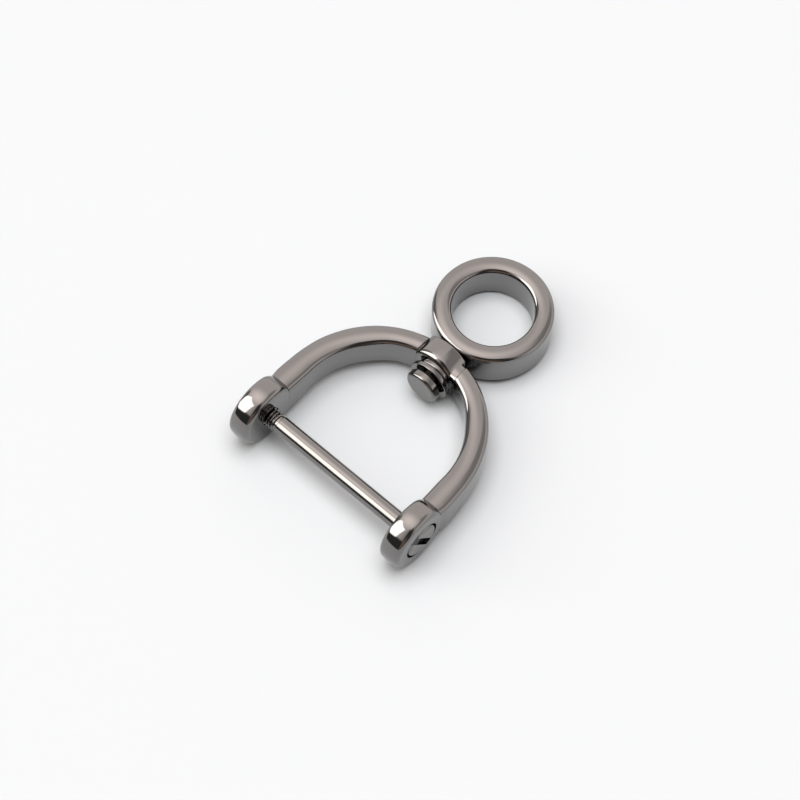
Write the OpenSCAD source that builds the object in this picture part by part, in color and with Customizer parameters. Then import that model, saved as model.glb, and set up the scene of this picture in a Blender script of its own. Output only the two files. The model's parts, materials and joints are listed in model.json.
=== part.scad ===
// Swivel horseshoe buckle. A cast horseshoe shackle is closed by a screw pin across its two lugs,
// and a thick ring turns on a rivet through the shackle's crown.
// The buckle's own plane holds the pin's axis (along X) and the swivel's axis (along Y).
// The whole buckle is then leant so that both lugs and the ring's far edge touch the table.

/* [Strap opening] */
// Clear width between the lugs, which is the width of the strap
strap_w = 25; // [24:0.5:28]
// Distance from the pin's axis to the centre of the arch
arch_y = 8.5; // [7:0.05:10]

/* [Shackle] */
// Width of the horseshoe's bar, seen from above
bar_w = 3.45; // [3:0.05:4]
// Height of the horseshoe's bar
bar_h = 5.95; // [5.8:0.05:6.8]
// Rounding of the bar's long edges
bar_edge = 0.85; // [0.6:0.05:1.1]
// Radius of the domed upper and lower faces of the bar
bar_dome = 3.5; // [3:0.5:12]
// How far the bar is lowered, on each side, where it meets a lug or the crown
step_down = 0.4; // [0.2:0.05:0.6]

/* [Lugs] */
// Radius of the round lugs
lug_r = 5.25; // [4.8:0.05:5.5]
// Thickness of each lug along the pin
lug_t = 3.65; // [3.4:0.05:4.4]
// Rounding of the lugs' edges
lug_edge = 0.85; // [0.5:0.05:1.2]
// Distance from the pin's axis to the notch where the bar's full height starts
leg_y = 3.85; // [3.7:0.05:4.2]
// Length of the lug's slope down to the notch
notch_l = 0.9; // [0.6:0.1:1.2]

/* [Crown] */
// Half width of the lowered seat across the top of the arch
seat_x = 3.5; // [3:0.1:4.5]
// Radius of the barrel around the rivet
barrel_r = 3.55; // [3.3:0.05:3.8]
// Rounding of the barrel's inner edge
barrel_edge = 0.9; // [0.5:0.05:1.1]
// Radius of the collar that the washer runs against
collar_r = 2.9; // [2.5:0.05:3.2]
// Height of the collar
collar_h = 0.65; // [0.6:0.05:1.4]

/* [Screw pin] */
// Diameter of the pin's plain shank
shank_d = 2.7; // [2.5:0.05:2.8]
// Outer diameter of the pin's thread
thread_d = 3; // [2.9:0.05:3.2]
// Distance from one thread crest to the next
thread_pitch = 0.5; // [0.4:0.05:0.7]
// Length of the threaded end
thread_l = 5.2; // [4:0.1:5.6]
// Diameter of the slotted head
head_d = 5.5; // [5:0.1:6]
// Thickness of the slotted head
head_t = 1.5; // [1.2:0.1:2]
// Width of the screwdriver slot
slot_w = 1; // [0.8:0.1:1.2]
// Depth of the screwdriver slot
slot_depth = 0.75; // [0.5:0.05:0.9]
// Angle of the slot from the buckle's plane, in degrees
slot_turn = 125; // [0:1:180]

/* [Swivel] */
// Outer radius of the ring
ring_r = 8.85; // [8.5:0.05:10]
// Radius of the ring's hole
ring_hole_r = 6; // [5.5:0.05:6.2]
// Height of the ring
ring_h = 6.3; // [6:0.1:7]
// Diameter of the rivet's shank
rivet_d = 3; // [2.6:0.1:3.2]
// Diameter of the rivet's head
button_d = 5.4; // [4.8:0.1:6]
// Thickness of the rivet's head
button_t = 1.25; // [1:0.05:1.6]
// Rounding of the rivet head's edge
button_edge = 0.5; // [0.2:0.05:0.6]
// Diameter of the washer
washer_d = 6.6; // [6:0.1:7]
// Thickness of the washer
washer_t = 0.7; // [0.5:0.05:1]

/* [Clearances] */
// Gap on the radius around each turning or sliding shank
run_gap = 0.07; // [0.04:0.01:0.1]
// Gap between the shackle's crown and the ring
swivel_gap = 0.2; // [0.2:0.05:0.5]
// Gap between the washer and the collar
washer_gap = 0.08; // [0.05:0.01:0.15]
// Gap between the washer and the rivet's head
head_gap = 0.5; // [0.1:0.05:0.6]

/* [Hidden] */
$fn = 96;

// The arch's inner wall stands a little inside the lugs' faces
arch_inset = 0.12;
arch_r = strap_w / 2 + bar_w / 2 - arch_inset;
arch_inner_y = arch_y + arch_r - bar_w / 2;
arch_outer_y = arch_y + arch_r + bar_w / 2;
leg_l = arch_y - leg_y;
low_h = bar_h - 2 * step_down;
lug_x = strap_w / 2;

// The head lies in a counterbore and stands a little proud of the lug's face
head_proud = 0.2;
head_x = lug_x + lug_t + head_proud - head_t;
head_edge = 0.25;
counterbore_r = head_d / 2 + 0.3;
pin_bore_r = thread_d / 2 + run_gap;
// The thread's end stops just inside the far lug's outer face
pin_end_x = -lug_x - lug_t + 0.35;
thread_x = pin_end_x + thread_l;
thread_root_r = thread_d / 2 - 0.6 * thread_pitch;

collar_y = arch_inner_y - collar_h;
barrel_end_y = arch_outer_y + 0.05;
rivet_bore_r = rivet_d / 2 + run_gap;
washer_y = collar_y - washer_gap - washer_t;
button_y = washer_y - head_gap - button_t;
washer_edge = 0.15;

ring_w = ring_r - ring_hole_r;
ring_mid_r = (ring_r + ring_hole_r) / 2;
ring_y = barrel_end_y + swivel_gap + ring_r;
ring_edge = 0.75;
ring_dome = 3;
// The rivet ends in a blind hole in the ring's wall
rivet_end_y = ring_y - ring_hole_r - 0.8;

// The lean at which the lugs and the domed underside of the ring's far edge touch one table
lean_reach = ring_y + ring_mid_r;
lean_drop = ring_dome - ring_h / 2;
lean = atan2(lean_drop, lean_reach)
    - asin((ring_dome - lug_r) / sqrt(lean_reach * lean_reach + lean_drop * lean_drop));

// Along Y the leant buckle reaches from the lugs' front to the ring's far wall
far_y = ring_y * cos(lean) + (ring_r - ring_edge) * cos(lean)
    + (ring_h / 2 - ring_edge) * sin(lean) + ring_edge;
middle_y = (far_y - lug_r) / 2;

// A bar's cross-section: straight sides, rounded corners and a domed top and bottom
module bar_section(w, h, edge, dome) {
    corner_x = w / 2 - edge;
    corner_y = sqrt(pow(dome - edge, 2) - pow(corner_x, 2)) - (dome - h / 2);
    touch_x = corner_x * dome / (dome - edge);
    square([w, 2 * corner_y], center = true);
    for (sx = [-1, 1], sy = [-1, 1])
        translate([sx * corner_x, sy * corner_y])
            circle(edge);
    intersection() {
        square([2 * touch_x, h], center = true);
        translate([0, h / 2 - dome])
            circle(dome);
        translate([0, dome - h / 2])
            circle(dome);
    }
}

// The last stretch of a turned piece's outline, whose rim is rounded
module rim(r, edge) {
    square([r - edge, edge]);
    intersection() {
        translate([r - edge, 0])
            circle(edge);
        square([r, edge]);
    }
}

// A round piece along +Y from y = 0. A rim with a rounding of 0 stays sharp
module turned(r, l, near_edge, far_edge) {
    rotate([-90, 0, 0])
        rotate_extrude() {
            translate([0, near_edge])
                square([r, l - near_edge - far_edge]);
            if (near_edge > 0)
                translate([0, near_edge])
                    mirror([0, 1])
                        rim(r, near_edge);
            if (far_edge > 0)
                translate([0, l - far_edge])
                    rim(r, far_edge);
        }
}

// The whole buckle's place on the table, with the origin below the middle of its box
module at_rest() {
    translate([0, -middle_y, lug_r])
        rotate([-lean, 0, 0])
            children();
}

// The arch at one height
module arch(h) {
    translate([0, arch_y, 0])
        rotate_extrude(angle = 180)
            translate([arch_r, 0])
                bar_section(bar_w, h, bar_edge, bar_dome);
}

// The right leg, from the arch's end down to the notch
module leg() {
    translate([arch_r, arch_y, 0])
        rotate([90, 0, 0])
            linear_extrude(leg_l)
                bar_section(bar_w, bar_h, bar_edge, bar_dome);
}

module seat_block() {
    translate([-seat_x, arch_y, -bar_h])
        cube([2 * seat_x, 2 * arch_r, 2 * bar_h]);
}

module bow() {
    difference() {
        arch(bar_h);
        seat_block();
    }
    intersection() {
        arch(low_h);
        seat_block();
    }
    leg();
    mirror([1, 0, 0]) leg();
}

// What is cut from the back of a lug above the lowered bar, with a slope down to the notch
module notch() {
    top_y = leg_y - notch_l;
    top_z = sqrt(lug_r * lug_r - top_y * top_y);
    translate([lug_x - 1, 0, 0])
        rotate([90, 0, 90])
            linear_extrude(lug_t + 2)
                polygon([[top_y, top_z], [leg_y, low_h / 2], [2 * lug_r, low_h / 2], [2 * lug_r, 2 * lug_r],
                    [top_y, 2 * lug_r]]);
}

module lug() {
    difference() {
        translate([lug_x, 0, 0])
            rotate([0, 0, -90])
                turned(lug_r, lug_t, lug_edge, lug_edge);
        notch();
        mirror([0, 0, 1]) notch();
    }
}

module barrel() {
    translate([0, arch_inner_y, 0])
        turned(barrel_r, barrel_end_y - arch_inner_y, barrel_edge, 0.3);
}

module collar() {
    translate([0, collar_y, 0])
        turned(collar_r, collar_h + 1, 0.15, 0);
}

module along_x(x, r, l) {
    translate([x, 0, 0])
        rotate([0, 90, 0])
            cylinder(r = r, h = l);
}

module along_y(y, r, l) {
    translate([0, y, 0])
        rotate([-90, 0, 0])
            cylinder(r = r, h = l);
}

module shackle() {
    color("#5c5856")
        at_rest()
            difference() {
                union() {
                    bow();
                    lug();
                    mirror([1, 0, 0]) lug();
                    barrel();
                    collar();
                }
                along_x(-2 * lug_x, pin_bore_r, 4 * lug_x);
                along_x(head_x, counterbore_r, 2 * lug_t);
                along_y(collar_y - 1, rivet_bore_r, barrel_end_y - collar_y + 2);
            }
}

// The thread's outline, as a row of V-shaped crests from its root radius
module thread_crests() {
    turns = floor(thread_l / thread_pitch);
    points = [
        for (i = [0 : turns - 1])
            for (p = [[thread_root_r, 0], [thread_d / 2, 0.4], [thread_d / 2, 0.6]])
                [p[0], (i + p[1]) * thread_pitch]
    ];
    rotate([0, 90, 0])
        rotate_extrude()
            polygon(concat([[0, 0]], points, [[thread_root_r, thread_l], [0, thread_l]]));
}

module screw_pin() {
    color("#8d8a88")
        at_rest()
            difference() {
                union() {
                    translate([pin_end_x, 0, 0]) thread_crests();
                    along_x(thread_x, shank_d / 2, head_x - thread_x);
                    translate([head_x, 0, 0])
                        rotate([0, 0, -90])
                            turned(head_d / 2, head_t, 0, head_edge);
                }
                rotate([slot_turn, 0, 0])
                    translate([head_x + head_t - slot_depth, -head_d, -slot_w / 2])
                        cube([2 * slot_depth, 2 * head_d, slot_w]);
            }
}

module swivel_ring() {
    color("#625e5b")
        at_rest()
            difference() {
                translate([0, ring_y, 0])
                    rotate_extrude()
                        translate([ring_mid_r, 0])
                            bar_section(ring_w, ring_h, ring_edge, ring_dome);
                along_y(ring_y - ring_r - 1, rivet_d / 2, rivet_end_y - ring_y + ring_r + 1);
            }
}

module washer() {
    color("#7a7674")
        at_rest()
            difference() {
                translate([0, washer_y, 0])
                    turned(washer_d / 2, washer_t, washer_edge, washer_edge);
                along_y(washer_y - 1, rivet_bore_r, washer_t + 2);
            }
}

module swivel_rivet() {
    color("#76726f")
        at_rest() {
            translate([0, button_y, 0])
                turned(button_d / 2, button_t, button_edge, 0.1);
            along_y(button_y + button_t, rivet_d / 2, rivet_end_y - button_y - button_t);
        }
}

shackle();
screw_pin();
swivel_ring();
washer();
swivel_rivet();
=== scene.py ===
import json
import math

import bmesh
import bpy
from mathutils import Matrix, Vector


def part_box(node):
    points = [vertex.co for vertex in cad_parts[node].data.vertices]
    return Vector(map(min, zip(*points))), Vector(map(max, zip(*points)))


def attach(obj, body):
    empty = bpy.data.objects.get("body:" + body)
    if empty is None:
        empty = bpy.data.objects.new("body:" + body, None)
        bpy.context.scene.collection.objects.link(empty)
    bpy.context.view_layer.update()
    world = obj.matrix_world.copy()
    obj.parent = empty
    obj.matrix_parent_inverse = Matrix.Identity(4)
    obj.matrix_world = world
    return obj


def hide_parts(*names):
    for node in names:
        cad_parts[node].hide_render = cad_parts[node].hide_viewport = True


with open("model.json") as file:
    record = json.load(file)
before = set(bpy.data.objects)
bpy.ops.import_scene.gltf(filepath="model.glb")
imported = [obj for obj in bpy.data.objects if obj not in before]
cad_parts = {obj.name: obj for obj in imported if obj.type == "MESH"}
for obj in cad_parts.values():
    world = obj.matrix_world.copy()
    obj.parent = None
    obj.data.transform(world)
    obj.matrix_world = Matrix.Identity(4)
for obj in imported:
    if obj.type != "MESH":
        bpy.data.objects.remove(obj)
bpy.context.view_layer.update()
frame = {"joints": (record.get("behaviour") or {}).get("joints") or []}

# pieces are modelled in millimetres in the buckle's own plane, with the pin along X and the swivel
# along Y, and onTable then shrinks them to metres and leans them the way the buckle lies
swivelJoint = next(joint for joint in frame["joints"] if joint["name"] == "ring_swivel")
pinLow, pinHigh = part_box("screw_pin")
pinMiddle = (pinLow + pinHigh) / 2
lean = math.atan2(swivelJoint["axis"][2], swivelJoint["axis"][1])
lie = Matrix.Translation((0, pinMiddle.y, pinMiddle.z)) @ Matrix.Rotation(lean, 4, "X")
onTable = lie @ Matrix.Scale(0.001, 4)
quarterTurn = math.pi / 2
near = 0.001  # points closer than this, in mm, lie at the same place
sharpFrom = math.radians(32)  # edges that turn by more than this stay sharp


def objectMode():
    if bpy.context.object and bpy.context.object.mode != "OBJECT":
        bpy.ops.object.mode_set(mode="OBJECT")
    bpy.ops.object.select_all(action="DESELECT")


def takeUp(ob):
    # makes this object, and no other, the selected and active one
    objectMode()
    ob.select_set(True)
    bpy.context.view_layer.objects.active = ob


def editAgain(ob):
    takeUp(ob)
    bpy.ops.object.mode_set(mode="EDIT")


def newPiece(name):
    # names the primitive that was just added and takes it into edit mode
    ob = bpy.context.object
    ob.name = name
    bpy.ops.object.transform_apply(location=True, rotation=True, scale=True)
    bpy.ops.object.mode_set(mode="EDIT")
    return ob


def pick(kind, test):
    # selects the points, or the faces by their middles, that pass the test, and nothing else
    bpy.ops.mesh.select_mode(type=kind)
    bpy.ops.mesh.select_all(action="DESELECT")
    bm = bmesh.from_edit_mesh(bpy.context.object.data)
    if kind == "VERT":
        for v in bm.verts:
            v.select_set(test(v.co))
    else:
        for f in bm.faces:
            if test(f.calc_center_median()):
                f.select_set(True)
    bm.select_flush_mode()
    bmesh.update_edit_mesh(bpy.context.object.data)


def pickAll():
    bpy.ops.mesh.select_mode(type="VERT")
    bpy.ops.mesh.select_all(action="SELECT")


def move(x=0.0, y=0.0, z=0.0):
    bpy.ops.transform.translate(value=(x, y, z))


def movePoint(start, end):
    # moves the one point that lies at start, and gives its new place
    start, end = Vector(start), Vector(end)
    pick("VERT", lambda c: (c - start).length < near)
    move(*(end - start))
    return end


def grow(x, y, z, middle):
    bpy.ops.transform.resize(value=(x, y, z), center_override=middle)


def pullOut(x=0.0, y=0.0, z=0.0):
    # the new end stays selected, ready to be moved or scaled
    bpy.ops.mesh.extrude_region_move(TRANSFORM_OT_translate={"value": (x, y, z)})


def closeEnd():
    bpy.ops.mesh.edge_face_add()


def tidyShell():
    pickAll()
    bpy.ops.mesh.remove_doubles(threshold=0.0004)
    bpy.ops.mesh.normals_make_consistent(inside=False)
    objectMode()


def useTool(ob, kind, **settings):
    # adds one modifier and applies it
    takeUp(ob)
    tool = ob.modifiers.new(kind, kind)
    for key, value in settings.items():
        setattr(tool, key, value)
    bpy.ops.object.modifier_apply(modifier=tool.name)
    objectMode()


def weld(ob, other):
    useTool(ob, "BOOLEAN", operation="UNION", solver="EXACT", object=other)
    bpy.data.objects.remove(other)


def drill(ob, cutter):
    useTool(ob, "BOOLEAN", operation="DIFFERENCE", solver="EXACT", object=cutter)
    bpy.data.objects.remove(cutter)


def turnsBetween(first, last, steps):
    return [first + (last - first) * step / steps for step in range(steps + 1)]


def cornerOf(width, height, dome, side, edge):
    # a corner of a bar's outline: the dome on top, a bulging side and the rounding between them, all
    # given by their radius. Gives the rounding's centre from the bar's middle, and how far from
    # upright the outline faces where the dome ends and where the side starts
    a, b = dome - edge, side - edge
    x, z = width / 2 - side, dome - height / 2
    apart = math.hypot(x, z)
    along = (a * a - b * b + apart * apart) / (2 * apart)
    off = math.sqrt(a * a - along * along)
    centre = Vector((along * x + off * z, 0, along * z - off * x)) / apart
    centre.z -= z
    domeTurn = math.asin(centre.x / a)
    sideTurn = math.acos(centre.z / b)
    return centre, domeTurn, sideTurn


outlineSteps = {"dome": 14, "side": 8, "edge": 8}


def barSection(name, x, y, shape, peak=0.0):
    # outline of a bar that runs along Y: a plane with a point added in the middle of each edge, whose
    # eight points are moved out to where the tangents meet, and then rounded to the dome, the sides
    # and the corners. The dome's highest point can lie off the middle. The face is dropped, so that
    # only the outline is spun or pulled out
    width, height, dome, side = shape["width"], shape["height"], shape["dome"], shape["side"]
    objectMode()
    bpy.ops.mesh.primitive_plane_add(size=1, location=(x, y, 0), rotation=(quarterTurn, 0, 0))
    ob = newPiece(name)
    pickAll()
    grow(width, 1, height, (x, y, 0))
    bpy.ops.mesh.subdivide(number_cuts=1)
    pickAll()
    bpy.ops.mesh.dissolve_faces()
    domeTurns = []
    rounds = []
    for way, edge in ((-1, shape["edges"][0]), (1, shape["edges"][1])):
        wide = width - 2 * way * peak
        centre, domeTurn, sideTurn = cornerOf(wide, height, dome, side, edge)
        domeTurns.append(domeTurn)
        facing = (domeTurn + sideTurn) / 2
        reach = edge / math.cos((sideTurn - domeTurn) / 2)
        cornerX = x + peak + way * (centre.x + reach * math.sin(facing))
        cornerZ = centre.z + reach * math.cos(facing)
        sideX = x + way * (width / 2 - side + side / math.sin(sideTurn))
        wallX = x + way * width / 2
        for up in (1, -1):
            corner = movePoint((wallX, y, up * height / 2), (cornerX, y, up * cornerZ))
            rounds.append((corner, edge, (sideTurn - domeTurn) / 2, outlineSteps["edge"]))
        bulge = movePoint((wallX, y, 0), (sideX, y, 0))
        rounds.append((bulge, side, quarterTurn - sideTurn, outlineSteps["side"]))
    skew, spread = (domeTurns[1] - domeTurns[0]) / 2, (domeTurns[1] + domeTurns[0]) / 2
    ridge = dome / math.cos(spread)
    ridgeX = x + peak + ridge * math.sin(skew)
    ridgeZ = height / 2 - dome + ridge * math.cos(skew)
    for up in (1, -1):
        top = movePoint((x, y, up * height / 2), (ridgeX, y, up * ridgeZ))
        rounds.append((top, dome, spread, outlineSteps["dome"]))
    # the bevel's profile is set so that it gives a true arc at any angle, and its width is a hair
    # short, so that two bevels never meet in one point
    for place, radius, halfTurn, segments in rounds:
        pick("VERT", lambda c: (c - place).length < near)
        arc = (1 - 0.5 / (1 + math.cos(halfTurn))) ** 2
        offset = radius * math.tan(halfTurn) * 0.995
        bpy.ops.mesh.bevel(offset=offset, segments=segments, profile=arc, affect="VERTICES")
    pickAll()
    bpy.ops.mesh.delete(type="ONLY_FACE")
    pickAll()
    return ob


def turned(name, axis, stations, sides=96):
    # a turned piece: a round face is pulled out along the axis and scaled at each (place, radius)
    way = Vector((1, 0, 0)) if axis == "X" else Vector((0, 1, 0))
    turn = (0, quarterTurn, 0) if axis == "X" else (quarterTurn, 0, 0)
    place, radius = stations[0]
    objectMode()
    bpy.ops.mesh.primitive_circle_add(
        vertices=sides, radius=radius, fill_type="NGON", location=way * place, rotation=turn)
    ob = newPiece(name)
    pickAll()
    for nextPlace, nextRadius in stations[1:]:
        pullOut(*(way * (nextPlace - place)))
        factor = nextRadius / radius
        grow(1 if axis == "X" else factor, 1 if axis == "Y" else factor, factor, way * nextPlace)
        place, radius = nextPlace, nextRadius
    tidyShell()
    return ob


def roundRim(place, radius, edge, way, steps=8):
    # stations of a rounded rim, from the face at place outwards (way 1) or up to it (way -1)
    rim = []
    for t in turnsBetween(0, quarterTurn, steps):
        rim.append((place + way * edge * (1 - math.cos(t)), radius - edge + edge * math.sin(t)))
    return rim if way > 0 else rim[::-1]


def roundCap(edge, steps=4):
    # rounds the rim of the end face that is selected, which moves out as it shrinks
    turns = turnsBetween(0, quarterTurn, steps)
    for a, b in zip(turns, turns[1:]):
        inward, outward = math.cos(a) - math.cos(b), math.sin(b) - math.sin(a)
        bpy.ops.mesh.inset(thickness=edge * inward, depth=edge * outward)


def finishPiece(ob, body, slot, material, *nodes):
    # lays the piece on the table, gives it its metal and says which body and nodes it belongs to
    takeUp(ob)
    ob.matrix_world = onTable
    bpy.ops.object.transform_apply(location=True, rotation=True, scale=True)
    bpy.ops.object.shade_smooth_by_angle(angle=sharpFrom, keep_sharp_edges=False)
    useTool(ob, "WEIGHTED_NORMAL", keep_sharp=True)
    ob.data.materials.clear()
    ob.data.materials.append(material)
    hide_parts(*nodes)
    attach(ob, body)
    for node in nodes:
        low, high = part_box(node)
        points = [v.co for v in ob.data.vertices]
        lows = [abs(min(p[k] for p in points) - low[k]) for k in range(3)]
        highs = [abs(max(p[k] for p in points) - high[k]) for k in range(3)]
        far = max(lows + highs)
        print(f"{ob.name}: {len(ob.data.polygons)} faces, box within {far * 1000:.2f} mm of {node}")
    objectMode()


def remap(nodes, links, value, before, after):
    # stretches a value from one range to another
    node = nodes.new("ShaderNodeMapRange")
    node.inputs["From Min"].default_value, node.inputs["From Max"].default_value = before
    node.inputs["To Min"].default_value, node.inputs["To Max"].default_value = after
    links.new(value, node.inputs["Value"])
    return node


# plated metals, with clouded polish, faint ripples in the reflections and a few small pits. A scale
# is in patterns to the metre, a depth in metres, and a tone or a polish is a share of the metal's own
plating = {
    "cloudScale": 420,
    "cloudDetail": 5,
    "cloudSpan": (0.3, 0.75),
    "polish": (0.7, 1.5),
    "pitScale": 620,
    "pitShare": 0.05,
    "pitSize": (0.03, 0.1),
    "pitTone": 0.3,
    "pitDepth": 0.00005,
    "pitStrength": 0.3,
    "driftScale": 150,
    "driftDetail": 3,
    "driftTones": (0.94, 1.06),
    "rippleDepth": 0.0001,
}


def gunmetal(name, colour, roughness, stretch=(1, 1, 1), ripple=0.06):
    material = bpy.data.materials.new(name)
    material.use_nodes = True
    nodes = material.node_tree.nodes
    links = material.node_tree.links
    shader = nodes["Principled BSDF"]
    shader.inputs["Metallic"].default_value = 1.0
    where = nodes.new("ShaderNodeTexCoord")
    spread = nodes.new("ShaderNodeMapping")
    spread.inputs["Scale"].default_value = stretch
    links.new(where.outputs["Object"], spread.inputs["Vector"])
    cloud = nodes.new("ShaderNodeTexNoise")
    cloud.inputs["Scale"].default_value = plating["cloudScale"]
    cloud.inputs["Detail"].default_value = plating["cloudDetail"]
    links.new(spread.outputs["Vector"], cloud.inputs["Vector"])
    # polish: the clouds make the surface a little duller or brighter
    bright, dull = (roughness * share for share in plating["polish"])
    polish = remap(nodes, links, cloud.outputs["Fac"], plating["cloudSpan"], (bright, dull))
    links.new(polish.outputs["Result"], shader.inputs["Roughness"])
    # pits: a few of the cells hold a small dark speck
    cells = nodes.new("ShaderNodeTexVoronoi")
    cells.inputs["Scale"].default_value = plating["pitScale"]
    links.new(where.outputs["Object"], cells.inputs["Vector"])
    speck = remap(nodes, links, cells.outputs["Distance"], plating["pitSize"], (1, 0))
    oneCell = nodes.new("ShaderNodeSeparateColor")
    links.new(cells.outputs["Color"], oneCell.inputs["Color"])
    chosen = nodes.new("ShaderNodeMath")
    chosen.operation = "GREATER_THAN"
    chosen.inputs[1].default_value = 1 - plating["pitShare"]
    links.new(oneCell.outputs["Red"], chosen.inputs[0])
    pit = nodes.new("ShaderNodeMath")
    pit.operation = "MULTIPLY"
    links.new(speck.outputs["Result"], pit.inputs[0])
    links.new(chosen.outputs["Value"], pit.inputs[1])
    # colour: the plating's tone drifts slowly and is darker in a pit
    drift = nodes.new("ShaderNodeTexNoise")
    drift.inputs["Scale"].default_value = plating["driftScale"]
    drift.inputs["Detail"].default_value = plating["driftDetail"]
    links.new(where.outputs["Object"], drift.inputs["Vector"])
    darker, lighter = plating["driftTones"]
    tone = nodes.new("ShaderNodeMix")
    tone.data_type = "RGBA"
    tone.inputs["A"].default_value = (*(c * darker for c in colour), 1)
    tone.inputs["B"].default_value = (*(c * lighter for c in colour), 1)
    links.new(drift.outputs["Fac"], tone.inputs["Factor"])
    pitted = nodes.new("ShaderNodeMix")
    pitted.data_type = "RGBA"
    pitted.inputs["B"].default_value = (*(c * plating["pitTone"] for c in colour), 1)
    links.new(pit.outputs["Value"], pitted.inputs["Factor"])
    links.new(tone.outputs["Result"], pitted.inputs["A"])
    links.new(pitted.outputs["Result"], shader.inputs["Base Color"])
    # ripples and pits in the surface itself
    ripples = nodes.new("ShaderNodeBump")
    ripples.inputs["Strength"].default_value = ripple
    ripples.inputs["Distance"].default_value = plating["rippleDepth"]
    links.new(cloud.outputs["Fac"], ripples.inputs["Height"])
    dents = nodes.new("ShaderNodeBump")
    dents.invert = True
    dents.inputs["Strength"].default_value = plating["pitStrength"]
    dents.inputs["Distance"].default_value = plating["pitDepth"]
    links.new(pit.outputs["Value"], dents.inputs["Height"])
    links.new(ripples.outputs["Normal"], dents.inputs["Normal"])
    links.new(dents.outputs["Normal"], shader.inputs["Normal"])
    return material


castMetal = gunmetal("castGunmetal", (0.205, 0.2, 0.197), 0.07)
pinMetal = gunmetal("pinGunmetal", (0.195, 0.191, 0.187), 0.1, stretch=(0.08, 2, 2), ripple=0.1)
rivetMetal = gunmetal("rivetGunmetal", (0.18, 0.176, 0.172), 0.07)
print("materials made")


# the horseshoe: its bar is the same all the way round, apart from the flare of its walls. The notch
# is the step in its top next to a lug, and the tongue goes on from there into the lug
bow = {
    "strap": 25.0,
    "archY": 8.5,
    "bar": {"width": 3.45, "height": 5.95, "dome": 3.5, "side": 40.0, "edges": (0.85, 0.85)},
    "inset": 0.12,
    "sweep": 82.0,
    "notchY": 3.95,
    "tongue": 1.45,
    "tongueNarrow": 0.88,
    "seatHalf": 3.5,
    "seatDrop": 0.4,
    "endEdge": 0.16,
    "footTop": -1.0,
    "archSteps": 110,
    "legSteps": 14,
}
barWidth, barHeight = bow["bar"]["width"], bow["bar"]["height"]
archRadius = bow["strap"] / 2 + barWidth / 2 - bow["inset"]
innerRadius = archRadius - barWidth / 2
outerRadius = archRadius + barWidth / 2
innerY = bow["archY"] + innerRadius
outerY = bow["archY"] + outerRadius
legLength = bow["archY"] - bow["notchY"]
sweep = math.radians(bow["sweep"])


def smoothThrough(points, at):
    # smooth height through a few (place, height) points, level before the first and after the last
    for (a, low), (b, high) in zip(points, points[1:]):
        if a <= at <= b:
            t = (at - a) / (b - a)
            return low + (high - low) * t * t * (3 - 2 * t)
    return points[0][1] if at < points[0][0] else points[-1][1]


# how far the outer and the inner wall lie further out than on the even bar, by the distance along
# the bar from the notch
outerFlare = [(0.0, 0.30), (1.3, 0.42), (7.5, 0.08), (11.5, 0.0)]
innerFlare = [(0.0, 0.11), (4.0, 0.0), (14.0, 0.0), (19.5, 0.36), (23.0, 0.4)]
# and how far the foot, which is all below footTop, is lowered to run smoothly into the lug
footDrop = [(0.0, 0.75), (4.5, 0.0)]


def barRing(side, number):
    # a ring of points round the bar, counted from the notch: its middle, the way out from the
    # horseshoe's inside, and its distance from the notch along the bar
    if number <= bow["legSteps"]:
        along = legLength * number / bow["legSteps"]
        return Vector((side * archRadius, bow["notchY"] + along, 0)), Vector((side, 0, 0)), along
    turn = sweep * (number - bow["legSteps"]) / bow["archSteps"]
    outward = Vector((side * math.cos(turn), math.sin(turn), 0))
    return Vector((0, bow["archY"], 0)) + outward * archRadius, outward, legLength + turn * archRadius


def flareBar(side):
    # each ring of the bar is widened or thinned by its own walls' flare
    ringNear = 0.03
    for number in range(bow["legSteps"] + bow["archSteps"] + 1):
        middle, outward, along = barRing(side, number)
        out = smoothThrough(outerFlare, along)
        inn = smoothThrough(innerFlare, along)
        if out + inn < near:
            continue
        ahead = Vector((-outward.y, outward.x, 0))
        pick("VERT", lambda c: abs((c - middle).dot(ahead)) < ringNear)
        wider = (barWidth + out - inn) / barWidth
        grow(wider, wider, 1, middle)
        move(*(outward * (out + inn) / 2))
        foot = smoothThrough(footDrop, along)
        if foot > 0:
            pick("VERT", lambda c: abs((c - middle).dot(ahead)) < ringNear and c.z < bow["footTop"])
            move(z=-foot)
    # the tongue's foot goes as low as the notch's
    pick("VERT", lambda c: c.y < bow["notchY"] - ringNear and c.z < bow["footTop"])
    move(z=-footDrop[0][1])


def makeHalfBow(side):
    name = "bowRight" if side > 0 else "bowLeft"
    x, y = side * archRadius, bow["archY"]
    ob = barSection(name, x, y, bow["bar"])
    bpy.ops.mesh.spin(steps=bow["archSteps"], angle=-side * sweep, center=(0, y, 0), axis=(0, 0, 1))
    pick("VERT", lambda c: c.y < bow["archY"] + near)
    for _ in range(bow["legSteps"]):
        pullOut(y=-legLength / bow["legSteps"])
    # a lowered tongue runs on into the lug, so that only the top shows a step
    pullOut()
    grow(1, 1, 1 - bow["seatDrop"] / barHeight, (x, bow["notchY"], -barHeight / 2))
    pullOut(y=-bow["tongue"])
    grow(bow["tongueNarrow"], 1, 1, (x, bow["notchY"], 0))
    closeEnd()
    tidyShell()
    editAgain(ob)
    flareBar(side)
    # the bar ends in an upright wall with a rounded rim where the seat starts
    endX = bow["seatHalf"] + bow["endEdge"]
    pickAll()
    bpy.ops.mesh.bisect(plane_co=(side * endX, 0, 0), plane_no=(side, 0, 0), use_fill=True,
                        clear_inner=True, clear_outer=False)
    pickAll()
    bpy.ops.mesh.normals_make_consistent(inside=False)
    pick("FACE", lambda c: abs(c.x) < endX + near)
    roundCap(bow["endEdge"])
    tidyShell()
    return ob


# the seat between the bar's two ends, sunk a hair below the arch's outer wall
seat = {"reach": 4.3, "sunk": 0.02, "slices": 40}
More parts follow.
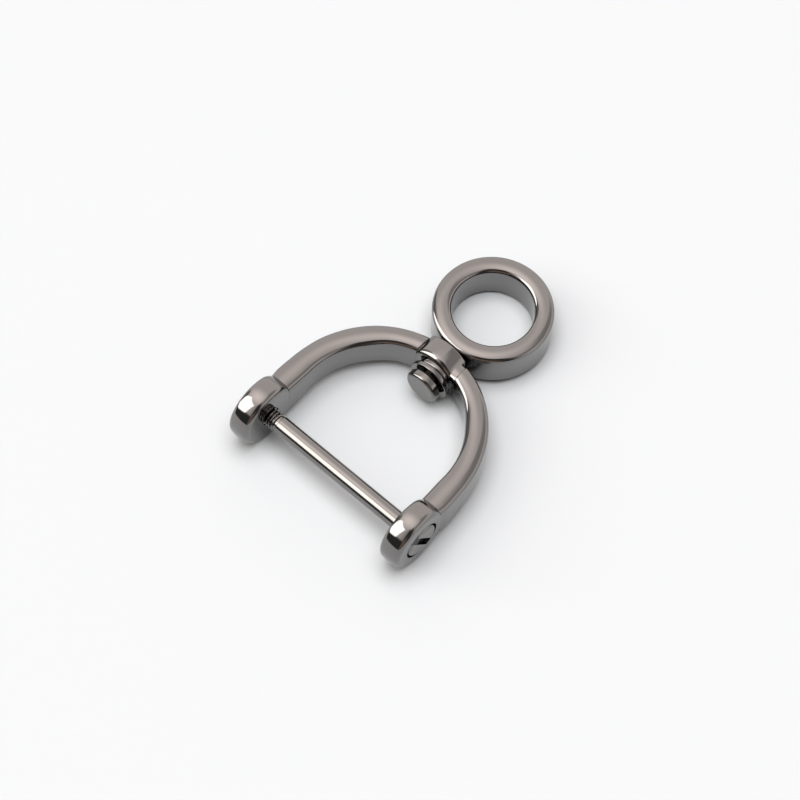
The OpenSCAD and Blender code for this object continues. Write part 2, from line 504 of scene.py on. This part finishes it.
# how far its inner wall stands back, by the distance from the middle
seatFlare = [(1.2, 0.02), (3.5, 0.42)]


def makeSeat():
    # pulled out along X in slices that follow the arch's two walls
    reach, slices = seat["reach"], seat["slices"]
    height = barHeight - 2 * bow["seatDrop"]
    ob = barSection("seat", 0, 0, {**bow["bar"], "height": height})
    bpy.ops.transform.rotate(value=quarterTurn, orient_axis="Z", center_override=(0, 0, 0))
    deep, middle = barWidth, 0
    for step in range(slices + 1):
        x = -reach + 2 * reach * step / slices
        low = bow["archY"] + math.sqrt(innerRadius ** 2 - x ** 2) + smoothThrough(seatFlare, abs(x))
        high = bow["archY"] + math.sqrt(outerRadius ** 2 - x ** 2) - seat["sunk"]
        if step:
            pullOut(2 * reach / slices, (low + high) / 2 - middle, 0)
        else:
            move(x, (low + high) / 2, 0)
        middle = (low + high) / 2
        grow(1, (high - low) / deep, 1, (x, middle, 0))
        deep = high - low
    for end in (-reach, reach):
        pick("VERT", lambda c: abs(c.x - end) < near)
        closeEnd()
    tidyShell()
    return ob


# the hump over the rivet: a loaf across the seat, with a rounded end towards the arch
hump = {
    "top": 3.7,
    "foot": 2.35,
    "half": 3.1,
    "middle": -0.5,
    "front": 20.93,
    "back": 24.42,
    "frontEdge": 1.0,
    "backEdge": 0.2,
    "columns": 96,
}


def makeHump():
    # its outline is a circle whose columns of two points are each scaled to an arch's height
    columns = hump["columns"]
    rise = hump["top"] - hump["foot"]
    radius = (hump["half"] ** 2 + rise ** 2) / (2 * rise)
    objectMode()
    bpy.ops.mesh.primitive_circle_add(vertices=columns, radius=hump["half"], fill_type="NGON",
                                      location=(0, hump["front"], 0), rotation=(quarterTurn, 0, 0))
    ob = newPiece("hump")
    for column in range(1, columns // 2):
        angle = 2 * math.pi * column / columns
        x = hump["half"] * math.cos(angle)
        height = hump["top"] - radius + math.sqrt(radius ** 2 - x ** 2)
        pick("VERT", lambda c: abs(c.x - x) < near)
        grow(1, 1, height / (hump["half"] * math.sin(angle)), (0, hump["front"], 0))
    # each station of the loaf is a place along Y and its height next to the full one
    stations = roundRim(hump["front"], hump["top"], hump["frontEdge"], 1, 8)
    stations += roundRim(hump["back"], hump["top"], hump["backEdge"], -1, 4)
    place, tall = hump["front"], hump["top"]
    pickAll()
    for nextPlace, nextTall in stations:
        if nextPlace > place:
            pullOut(y=nextPlace - place)
        grow(1, 1, nextTall / tall, (0, nextPlace, 0))
        place, tall = nextPlace, nextTall
    pickAll()
    move(x=hump["middle"])
    tidyShell()
    return ob


# the lugs: flat faces, then a slightly bulging side, an edge and a domed rim, each an arc of its own
# radius. Towards the bar the rim is lowered, from slopeFrom to slopeTo degrees off the bar's way
lug = {
    "radius": 5.25,
    "thick": 3.65,
    "flat": 2.9,
    "dome": 7.0,
    "side": 30.0,
    "edge": 0.8,
    "arcSteps": (8, 8, 6),
    "slopeFrom": 64.0,
    "slopeTo": 36.0,
    "slopeEnd": 0.945,
    "columns": 180,
}


def makeLug(side):
    # half of the rim's outline: from its middle over the dome, round the edge and down the side
    half = lug["thick"] / 2
    rise = lug["radius"] - lug["flat"]
    centre, domeTurn, sideTurn = cornerOf(lug["thick"], 2 * rise, lug["dome"], lug["side"], lug["edge"])
    domeSteps, edgeSteps, sideSteps = lug["arcSteps"]
    rim = []
    for t in turnsBetween(0, domeTurn, domeSteps):
        rim.append((lug["dome"] * math.sin(t), lug["dome"] * (math.cos(t) - 1)))
    for t in turnsBetween(domeTurn, sideTurn, edgeSteps)[1:]:
        rim.append((centre.x + lug["edge"] * math.sin(t), centre.z + lug["edge"] * math.cos(t) - rise))
    for t in turnsBetween(sideTurn, quarterTurn, sideSteps)[1:]:
        rim.append((half - lug["side"] * (1 - math.sin(t)), lug["side"] * math.cos(t) - rise))
    middle = bow["strap"] / 2 + half
    outline = [(middle - place, lug["radius"] + drop) for place, drop in rim[::-1]]
    outline += [(middle + place, lug["radius"] + drop) for place, drop in rim[1:]]
    stations = [(side * place, radius) for place, radius in outline]
    ob = turned("lugRight" if side > 0 else "lugLeft", "X", stations, sides=lug["columns"])
    editAgain(ob)
    # the slope: each column of points is scaled by its angle, above the bar and below it
    apart = 360 / lug["columns"]
    slope = [(lug["slopeTo"], 1 - lug["slopeEnd"]), (lug["slopeFrom"], 0.0)]
    last = int(lug["slopeFrom"] / apart) - 1
    for column in range(-last, last + 1):
        angle = column * apart
        lowered = 1 - smoothThrough(slope, abs(angle))
        pick("VERT", lambda c: abs(math.degrees(math.atan2(c.z, c.y)) - angle) < apart / 4)
        grow(1, lowered, lowered, (0, 0, 0))
    tidyShell()
    return ob


# the collar that the washer runs on, sunk into the seat, and the holes: rivetFrom, rivetTo and
# pastLugs are how far their cutters reach
collar = {"radius": 2.9, "height": 0.65, "edge": 0.45, "sunk": 1.0}
collarFront = innerY - collar["height"]
bore = {
    "pin": 1.57,
    "head": 3.05,
    "headFloor": 14.85,
    "pastLugs": 20.0,
    "rivet": 1.57,
    "rivetFrom": 15.0,
    "rivetTo": 26.0,
    "sides": 64,
    "headSides": 96,
}


def makeCollar():
    rim = roundRim(collarFront, collar["radius"], collar["edge"], 1)
    return turned("collar", "Y", rim + [(innerY + collar["sunk"], collar["radius"])])


def boreCutter(axis, start, end, radius, sides=bore["sides"]):
    return turned("cutter", axis, [(start, radius), (end, radius)], sides=sides)


shackle = makeHalfBow(1)
print("right half of the bow made")
weld(shackle, makeHalfBow(-1))
weld(shackle, makeSeat())
weld(shackle, makeHump())
print("seat and hump welded")
weld(shackle, makeLug(1))
weld(shackle, makeLug(-1))
print("lugs welded")
weld(shackle, makeCollar())
drill(shackle, boreCutter("X", -bore["pastLugs"], bore["pastLugs"], bore["pin"]))
drill(shackle, boreCutter("X", bore["headFloor"], bore["pastLugs"], bore["head"], bore["headSides"]))
drill(shackle, boreCutter("Y", bore["rivetFrom"], bore["rivetTo"], bore["rivet"]))
shackle.name = "shackle_cast"
finishPiece(shackle, "shackle_body", "gunmetal_cast", castMetal, "shackle")
print("shackle made")


# the screw pin: its thread is a row of round crests, each given by places along the pin and how
# deep they lie below the thread's outer radius, and the first starts behind a bevelled tip
pin = {
    "shank": 1.35,
    "thread": 1.5,
    "root": 1.2,
    "pitch": 0.5,
    "crest": [(0.0, 0.3), (0.13, 0.04), (0.21, 0.02), (0.29, 0.04), (0.42, 0.3)],
    "endX": -15.8,
    "tip": 0.25,
    "firstCrest": 0.4,
    "threadEnd": -10.6,
    "runout": 0.05,
    "headX": 14.85,
    "headRadius": 2.75,
    "headThick": 1.5,
    "headEdge": 0.45,
    "slotLength": 10.0,
    "slotWidth": 1.15,
    "slotDepth": 0.75,
    "slotTurn": 125.0,
}


def makePin():
    stations = [(pin["endX"], pin["root"] - pin["tip"]), (pin["endX"] + pin["tip"], pin["root"])]
    first = pin["endX"] + pin["firstCrest"]
    for number in range(int((pin["threadEnd"] - first) / pin["pitch"])):
        start = first + number * pin["pitch"]
        stations += [(start + place, pin["thread"] - depth) for place, depth in pin["crest"]]
    stations += [(pin["threadEnd"] - pin["runout"], pin["root"])]
    stations += [(pin["threadEnd"] + pin["runout"], pin["shank"])]
    stations += [(x, pin["shank"]) for x in (0.0, pin["headX"])]
    top = pin["headX"] + pin["headThick"]
    stations += [(pin["headX"], pin["headRadius"])]
    stations += roundRim(top, pin["headRadius"], pin["headEdge"], -1, 5)
    ob = turned("pin_turned", "X", stations)
    objectMode()
    bpy.ops.mesh.primitive_cube_add(size=1, location=(top, 0, 0))
    cutter = newPiece("slotCutter")
    pickAll()
    grow(2 * pin["slotDepth"], pin["slotLength"], pin["slotWidth"], (top, 0, 0))
    turn = -math.radians(pin["slotTurn"])
    bpy.ops.transform.rotate(value=turn, orient_axis="X", center_override=(top, 0, 0))
    tidyShell()
    drill(ob, cutter)
    return ob


finishPiece(makePin(), "pin_body", "gunmetal_pin", pinMetal, "screw_pin")
print("pin made")


# the swivel ring: peak is the radius at which its domed top is highest
ring = {
    "radius": 8.85,
    "hole": 6.0,
    "bar": {"width": 2.85, "height": 6.3, "dome": 3.06, "side": 150.0, "edges": (0.7, 0.76)},
    "peak": 7.33,
    "gap": 0.25,
    "steps": 220,
}
ringY = outerY + ring["gap"] + ring["radius"]


def makeRing():
    middle = (ring["radius"] + ring["hole"]) / 2
    ob = barSection("ring_cast", middle, ringY, ring["bar"], ring["peak"] - middle)
    bpy.ops.mesh.spin(steps=ring["steps"], angle=2 * math.pi, center=(0, ringY, 0), axis=(0, 0, 1))
    tidyShell()
    return ob


finishPiece(makeRing(), "ring_body", "gunmetal_cast", castMetal, "swivel_ring")

# washer and rivet on the swivel's axis: each gap is what lies behind the piece
washer = {"radius": 3.3, "thick": 0.7, "edge": 0.15, "gap": 0.08}
rivet = {
    "shank": 1.5,
    "headRadius": 2.7,
    "headThick": 1.25,
    "headEdge": 0.5,
    "backEdge": 0.08,
    "gap": 0.5,
    "end": 26.63,
}
washerY = collarFront - washer["gap"] - washer["thick"]
headY = washerY - rivet["gap"] - rivet["headThick"]


def makeWasher():
    back = washerY + washer["thick"]
    stations = roundRim(washerY, washer["radius"], washer["edge"], 1, 4)
    stations += roundRim(back, washer["radius"], washer["edge"], -1, 4)
    ob = turned("washer_turned", "Y", stations)
    drill(ob, boreCutter("Y", washerY - 1, back + 1, bore["rivet"]))
    return ob


def makeRivet():
    back = headY + rivet["headThick"]
    radius, edge = rivet["headRadius"], rivet["backEdge"]
    stations = roundRim(headY, radius, rivet["headEdge"], 1)
    stations += [(back - edge, radius), (back, radius - edge)]
    stations += [(back, rivet["shank"]), (rivet["end"], rivet["shank"])]
    return turned("rivet_turned", "Y", stations)


finishPiece(makeWasher(), "ring_body", "gunmetal_rivet", rivetMetal, "washer")
finishPiece(makeRivet(), "ring_body", "gunmetal_rivet", rivetMetal, "swivel_rivet")
print("ring, washer and rivet made")


# floor, light and camera, all in metres
paleFloor = {"size": 3.0, "colour": (0.247, 0.255, 0.263), "roughness": 0.6}
objectMode()
bpy.ops.mesh.primitive_plane_add(size=paleFloor["size"], location=(0, 0, 0))
floor = bpy.context.object
floor.name = "floor"
floorPaint = bpy.data.materials.new("floorPaint")
floorPaint.use_nodes = True
floorShader = floorPaint.node_tree.nodes["Principled BSDF"]
floorShader.inputs["Base Color"].default_value = (*paleFloor["colour"], 1)
floorShader.inputs["Roughness"].default_value = paleFloor["roughness"]
floor.data.materials.append(floorPaint)

# the room is light grey with a glow overhead, and the patches are laid over it in turn. A patch lies
# between two turns from the room's front and two angles down from straight up, all in degrees, and
# bottom gives its lower edge at its two sides
glow = {"turn": 170.0, "down": 16.0, "reach": 17.0, "soft": 32.0, "colour": (2.75, 2.45, 2.32)}
roomGrey = (1.42, 1.31, 1.26)
roomFront = -70.0
patches = [
    {
        "name": "rightWall",
        "turn": (72, 158),
        "top": 28,
        "bottom": (62, 62),
        "soft": (14, 14),
        "colour": (0.68, 0.63, 0.61),
    },
    {
        "name": "rightSkirting",
        "turn": (66, 150),
        "top": 64,
        "bottom": (96, 96),
        "soft": (12, 12),
        "colour": (1.3, 1.22, 1.16),
    },
    {
        "name": "leftWall",
        "turn": (-118, -92),
        "top": 40,
        "bottom": (96, 96),
        "soft": (12, 12),
        "colour": (0.4, 0.38, 0.37),
    },
    {
        "name": "darkSide",
        "turn": (-20, 66),
        "top": 14,
        "bottom": (96, 96),
        "soft": (34, 12),
        "colour": (0.1, 0.095, 0.09),
    },
    {
        "name": "brownCorner",
        "turn": (-15, 35),
        "top": 52,
        "bottom": (88, 88),
        "soft": (14, 14),
        "colour": (0.42, 0.3, 0.24),
    },
    {
        "name": "underSoftbox",
        "turn": (-96, -10),
        "top": 58,
        "bottom": (96, 96),
        "soft": (6, 8),
        "colour": (0.08, 0.08, 0.08),
    },
    {
        "name": "softbox",
        "turn": (-93, -38.5),
        "top": 26,
        "bottom": (88, 61),
        "soft": (3, 3),
        "colour": (5.6, 5.4, 5.1),
    },
]
# a wide panel overhead lights the floor and softens its shadows, and isn't seen in the metal
panel = {"height": 1.2, "width": 1.0, "watts": 37.2}
bpy.ops.object.light_add(type="AREA", location=(0, 0, panel["height"]))
panelLight = bpy.context.object
panelLight.name = "panel"
panelLight.data.shape = "DISK"
panelLight.data.size = panel["width"]
panelLight.data.energy = panel["watts"]
panelLight.visible_glossy = False

room = bpy.data.worlds.new("room")
bpy.context.scene.world = room
room.use_nodes = True
roomNodes = room.node_tree.nodes
roomLinks = room.node_tree.links


def mathNode(operation, first, second=None, third=None):
    node = roomNodes.new("ShaderNodeMath")
    node.operation = operation
    for socket, value in zip(node.inputs, (first, second, third)):
        if value is None:
            continue
        if isinstance(value, (int, float)):
            socket.default_value = value
        else:
            roomLinks.new(value, socket)
    return node.outputs["Value"]


def fade(value, at, soft, way):
    # rises from 0 to 1 across the place (way 1), or falls (way -1)
    span = (at - soft / 2, at + soft / 2)
    node = remap(roomNodes, roomLinks, value, span, (0, 1) if way > 0 else (1, 0))
    node.interpolation_type = "SMOOTHSTEP"
    return node.outputs["Result"]


where = roomNodes.new("ShaderNodeTexCoord")
faced = roomNodes.new("ShaderNodeVectorRotate")
faced.rotation_type = "Z_AXIS"
faced.inputs["Angle"].default_value = -math.radians(roomFront)
roomLinks.new(where.outputs["Generated"], faced.inputs["Vector"])
split = roomNodes.new("ShaderNodeSeparateXYZ")
roomLinks.new(faced.outputs["Vector"], split.inputs["Vector"])
turnAngle = mathNode("DEGREES", mathNode("ARCTAN2", split.outputs["Y"], split.outputs["X"]))
downAngle = mathNode("DEGREES", mathNode("ARCCOSINE", split.outputs["Z"]))

glowTurn, glowDown = math.radians(glow["turn"]), math.radians(glow["down"])
sideways = math.sin(glowDown)
toGlow = (math.cos(glowTurn) * sideways, math.sin(glowTurn) * sideways, math.cos(glowDown))
nearGlow = roomNodes.new("ShaderNodeVectorMath")
nearGlow.operation = "DOT_PRODUCT"
nearGlow.inputs[1].default_value = toGlow
roomLinks.new(where.outputs["Generated"], nearGlow.inputs[0])
offGlow = mathNode("DEGREES", mathNode("ARCCOSINE", nearGlow.outputs["Value"]))


def overlay(name, under, over, factor):
    # lays one colour over another by the factor, and gives the new colour
    layer = roomNodes.new("ShaderNodeMix")
    layer.name = name
    layer.data_type = "RGBA"
    layer.inputs["B"].default_value = (*over, 1)
    roomLinks.new(factor, layer.inputs["Factor"])
    if isinstance(under, tuple):
        layer.inputs["A"].default_value = (*under, 1)
    else:
        roomLinks.new(under, layer.inputs["A"])
    return layer.outputs["Result"]


colour = overlay("glow", roomGrey, glow["colour"], fade(offGlow, glow["reach"], glow["soft"], -1))
for patch in patches:
    left, right = patch["turn"]
    softSides, softEnds = patch["soft"]
    slant = (patch["bottom"][1] - patch["bottom"][0]) / (right - left)
    lowEdge = mathNode("MULTIPLY_ADD", turnAngle, -slant, downAngle)
    fromLeft = fade(turnAngle, left, softSides, 1)
    across = mathNode("MULTIPLY", fromLeft, fade(turnAngle, right, softSides, -1))
    above = fade(lowEdge, patch["bottom"][0] - slant * left, softEnds, -1)
    upright = mathNode("MULTIPLY", fade(downAngle, patch["top"], softEnds, 1), above)
    colour = overlay(patch["name"], colour, patch["colour"], mathNode("MULTIPLY", across, upright))
roomLinks.new(colour, roomNodes["Background"].inputs["Color"])

# the camera looks at the target from the photo's angle, and roll turns it about its own line of sight
shot = {
    "azimuth": 42.3923,
    "elevation": 64.17485,
    "roll": -0.51807,
    "distance": 0.446365,
    "lens": 141.406,
    "sensor": 36.0,
    "target": (-0.00067658, -0.00433323, 0.005),
}
azimuth, elevation, roll = (math.radians(shot[key]) for key in ("azimuth", "elevation", "roll"))
level = math.cos(elevation)
toCamera = Vector((math.sin(azimuth) * level, -math.cos(azimuth) * level, math.sin(elevation)))
toRight = Vector((math.cos(azimuth), math.sin(azimuth), 0))
toTop = toCamera.cross(toRight)
rolledRight = toRight * math.cos(roll) + toTop * math.sin(roll)
rolledTop = toTop * math.cos(roll) - toRight * math.sin(roll)
cameraData = bpy.data.cameras.new("camera")
cameraData.lens = shot["lens"]
cameraData.sensor_width = shot["sensor"]
camera = bpy.data.objects.new("camera", cameraData)
camera.rotation_mode = "QUATERNION"
camera.rotation_quaternion = Matrix((rolledRight, rolledTop, toCamera)).transposed().to_quaternion()
camera.location = Vector(shot["target"]) + toCamera * shot["distance"]
bpy.context.scene.collection.objects.link(camera)
bpy.context.scene.camera = camera
bpy.context.scene.view_settings.view_transform = "Standard"
print("floor, light and camera set")
